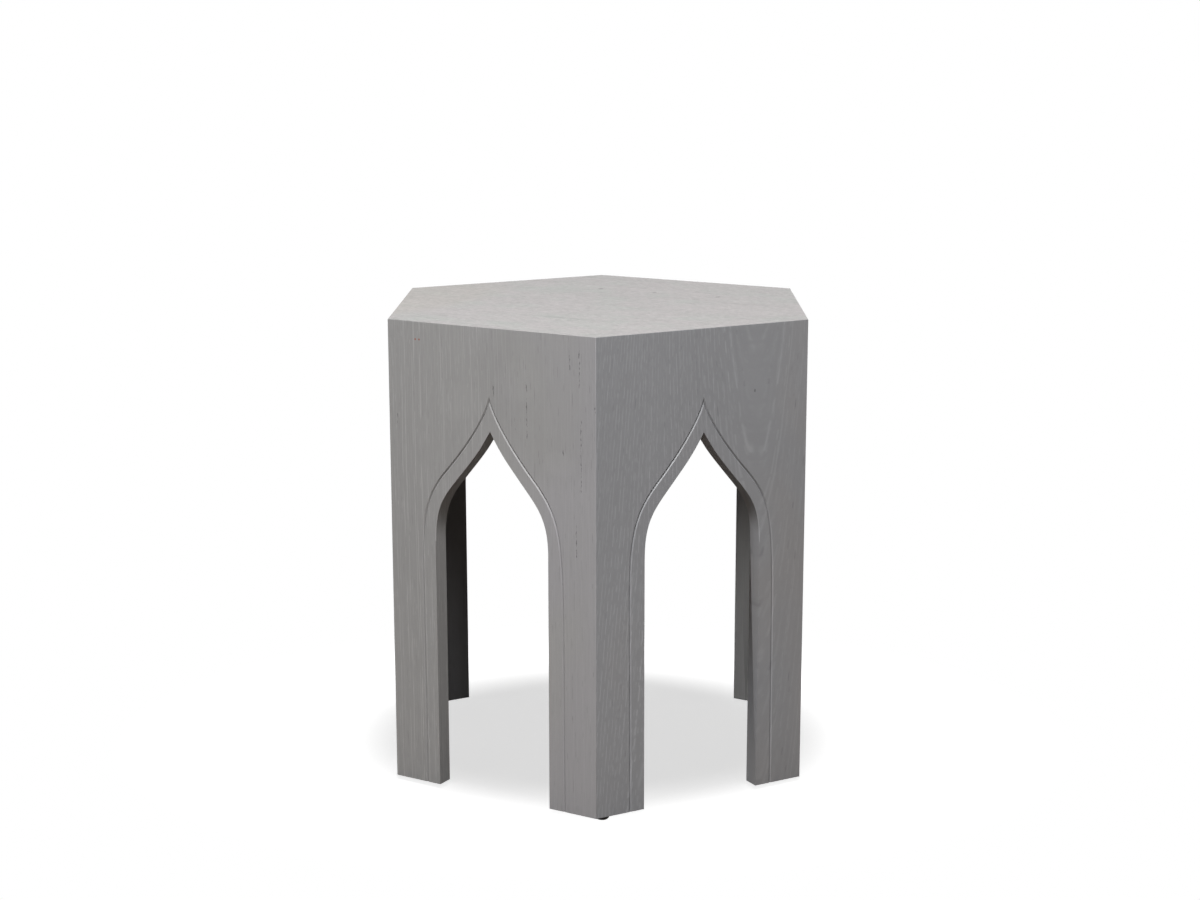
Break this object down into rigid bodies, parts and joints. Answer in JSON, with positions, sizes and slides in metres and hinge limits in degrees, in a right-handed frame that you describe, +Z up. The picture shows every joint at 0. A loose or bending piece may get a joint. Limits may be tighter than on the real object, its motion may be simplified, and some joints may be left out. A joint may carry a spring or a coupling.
{
  "type": "moroccan kursi stool",
  "caption": "Hexagonal wooden box stool with a mitred flat top, pointed ogee arches cut between its corner legs, engraved arch lines and screw-in levelling feet.",
  "frame": {"origin": "on the floor under the centre of the stool", "axes": "+Z up; one corner leg faces -Y; +X is the outward normal of the right side board"},
  "size_m": [0.4572, 0.5278, 0.5278],
  "materials": {
    "grey_lacquer": "satin grey lacquer over open-grain ash",
    "bare_beech": "bare planed beech",
    "zinc_plate": "bright zinc plate",
    "dark_nylon": "moulded dark nylon"
  },
  "bodies": {
    "root": {"top_panel": "grey_lacquer", "side_front_right": "grey_lacquer", "side_right": "grey_lacquer", "side_back_right": "grey_lacquer", "side_back_left": "grey_lacquer", "side_left": "grey_lacquer", "side_front_left": "grey_lacquer", "top_spline_front_right": "bare_beech", "top_spline_right": "bare_beech", "top_spline_back_right": "bare_beech", "top_spline_back_left": "bare_beech", "top_spline_left": "bare_beech", "top_spline_front_left": "bare_beech", "corner_spline_front": "bare_beech", "corner_spline_right": "bare_beech", "corner_spline_back_right": "bare_beech", "corner_spline_back": "bare_beech", "corner_spline_back_left": "bare_beech", "corner_spline_left": "bare_beech", "glue_block_front": "bare_beech", "glue_block_right": "bare_beech", "glue_block_back_right": "bare_beech", "glue_block_back": "bare_beech", "glue_block_back_left": "bare_beech", "glue_block_left": "bare_beech", "insert_front": "zinc_plate", "insert_right": "zinc_plate", "insert_back_right": "zinc_plate", "insert_back": "zinc_plate", "insert_back_left": "zinc_plate", "insert_left": "zinc_plate"},
    "stud_front": {"stud_front": "zinc_plate"},
    "pad_front": {"pad_front": "dark_nylon"},
    "stud_right": {"stud_right": "zinc_plate"},
    "pad_right": {"pad_right": "dark_nylon"},
    "stud_back_right": {"stud_back_right": "zinc_plate"},
    "pad_back_right": {"pad_back_right": "dark_nylon"},
    "stud_back": {"stud_back": "zinc_plate"},
    "pad_back": {"pad_back": "dark_nylon"},
    "stud_back_left": {"stud_back_left": "zinc_plate"},
    "pad_back_left": {"pad_back_left": "dark_nylon"},
    "stud_left": {"stud_left": "zinc_plate"},
    "pad_left": {"pad_left": "dark_nylon"}
  },
  "joints": [
    {"name": "stud_front_travel", "type": "slide", "parent": "root", "child": "stud_front", "axis": [0, 0, -1], "range_m": [0, 0.008]},
    {"name": "pad_front_turn", "type": "hinge", "parent": "stud_front", "child": "pad_front", "pos_m": [0.00607, -0.24949, 0], "axis": [0, 0, -1], "continuous": true},
    {"name": "stud_right_travel", "type": "slide", "parent": "root", "child": "stud_right", "axis": [0, 0, -1], "range_m": [0, 0.008]},
    {"name": "pad_right_turn", "type": "hinge", "parent": "stud_right", "child": "pad_right", "pos_m": [0.2191, -0.11948, 0], "axis": [0, 0, -1], "continuous": true},
    {"name": "stud_back_right_travel", "type": "slide", "parent": "root", "child": "stud_back_right", "axis": [0, 0, -1], "range_m": [0, 0.008]},
    {"name": "pad_back_right_turn", "type": "hinge", "parent": "stud_back_right", "child": "pad_back_right", "pos_m": [0.2191, 0.11948, 0], "axis": [0, 0, -1], "continuous": true},
    {"name": "stud_back_travel", "type": "slide", "parent": "root", "child": "stud_back", "axis": [0, 0, -1], "range_m": [0, 0.008]},
    {"name": "pad_back_turn", "type": "hinge", "parent": "stud_back", "child": "pad_back", "pos_m": [-0.00607, 0.24949, 0], "axis": [0, 0, -1], "continuous": true},
    {"name": "stud_back_left_travel", "type": "slide", "parent": "root", "child": "stud_back_left", "axis": [0, 0, -1], "range_m": [0, 0.008]},
    {"name": "pad_back_left_turn", "type": "hinge", "parent": "stud_back_left", "child": "pad_back_left", "pos_m": [-0.2191, 0.11948, 0], "axis": [0, 0, -1], "continuous": true},
    {"name": "stud_left_travel", "type": "slide", "parent": "root", "child": "stud_left", "axis": [0, 0, -1], "range_m": [0, 0.008]},
    {"name": "pad_left_turn", "type": "hinge", "parent": "stud_left", "child": "pad_left", "pos_m": [-0.2191, -0.11948, 0], "axis": [0, 0, -1], "continuous": true}
  ]
}
